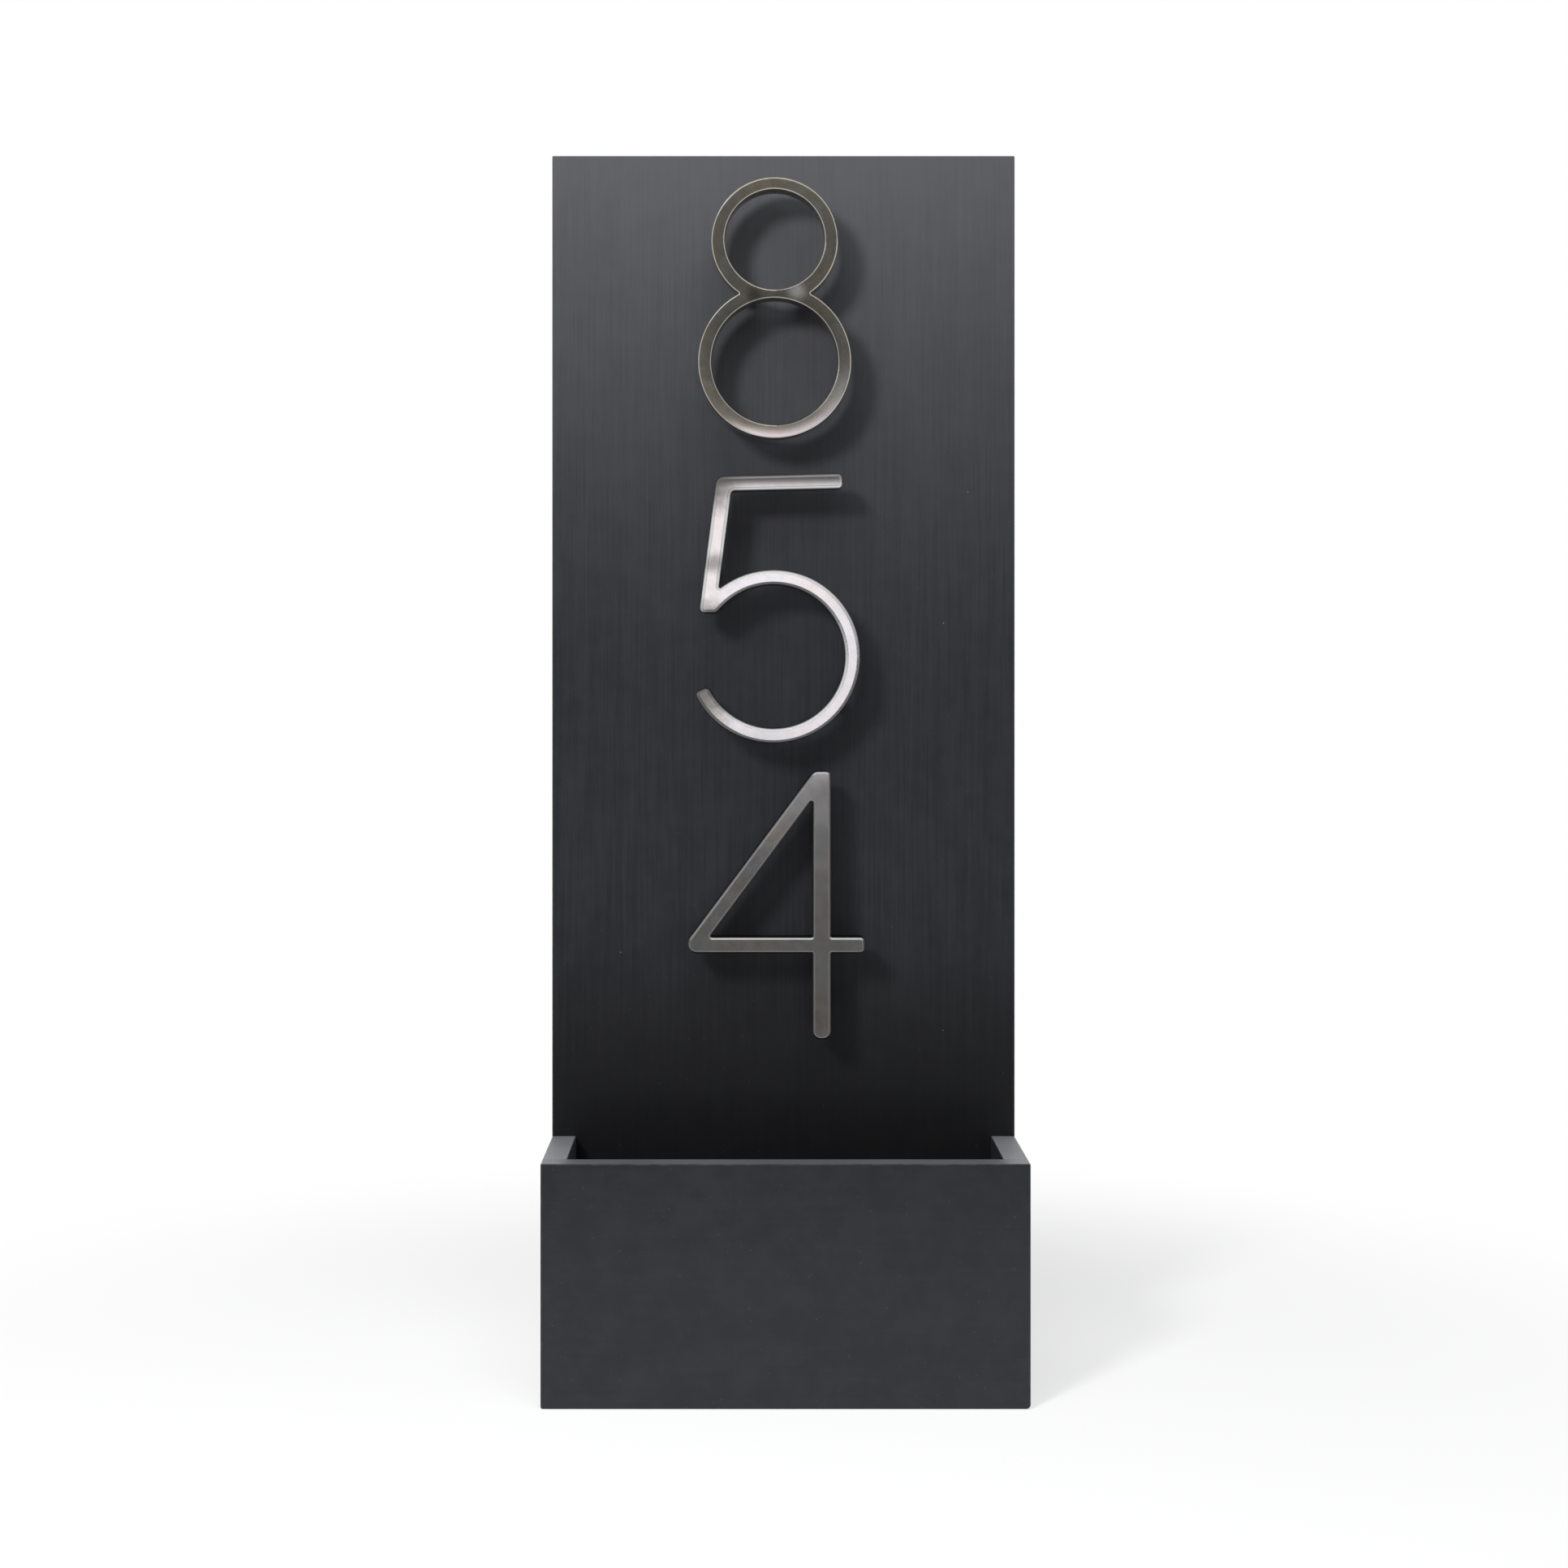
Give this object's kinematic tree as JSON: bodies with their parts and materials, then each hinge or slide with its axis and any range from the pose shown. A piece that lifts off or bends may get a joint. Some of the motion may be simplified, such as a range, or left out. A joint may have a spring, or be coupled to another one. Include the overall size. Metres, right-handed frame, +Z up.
{
  "type": "house number plaque",
  "caption": "Upright painted wooden board that hangs on a wall, with floating cast metal house numerals on hidden studs and an open planter box across its foot.",
  "frame": {"origin": "on the floor plane, at the middle of the footprint of the board and the planter box", "axes": "+Z up along the board, numerals and planter front facing -Y, wall side facing +Y, +X to the right as seen from the front"},
  "size_m": [0.184, 0.079, 0.482],
  "materials": {
    "board_paint": "satin charcoal paint over wood grain",
    "numeral_metal": "satin nickel on cast metal",
    "spacer_black": "matte",
    "fastener_steel": "zinc plated",
    "hanger_steel": "zinc plated sheet",
    "dowel_wood": "bare wood"
  },
  "bodies": {
    "root": {"back_board": "board_paint", "planter_front": "board_paint", "planter_left_side": "board_paint", "planter_right_side": "board_paint", "planter_bottom": "board_paint", "box_dowels": "dowel_wood", "box_screws": "fastener_steel", "numeral_eight": "numeral_metal", "numeral_five": "numeral_metal", "numeral_four": "numeral_metal", "numeral_studs": "fastener_steel", "numeral_spacers": "spacer_black", "hanger_plate_left": "hanger_steel", "hanger_plate_right": "hanger_steel", "hanger_screws": "fastener_steel"}
  },
  "joints": []
}
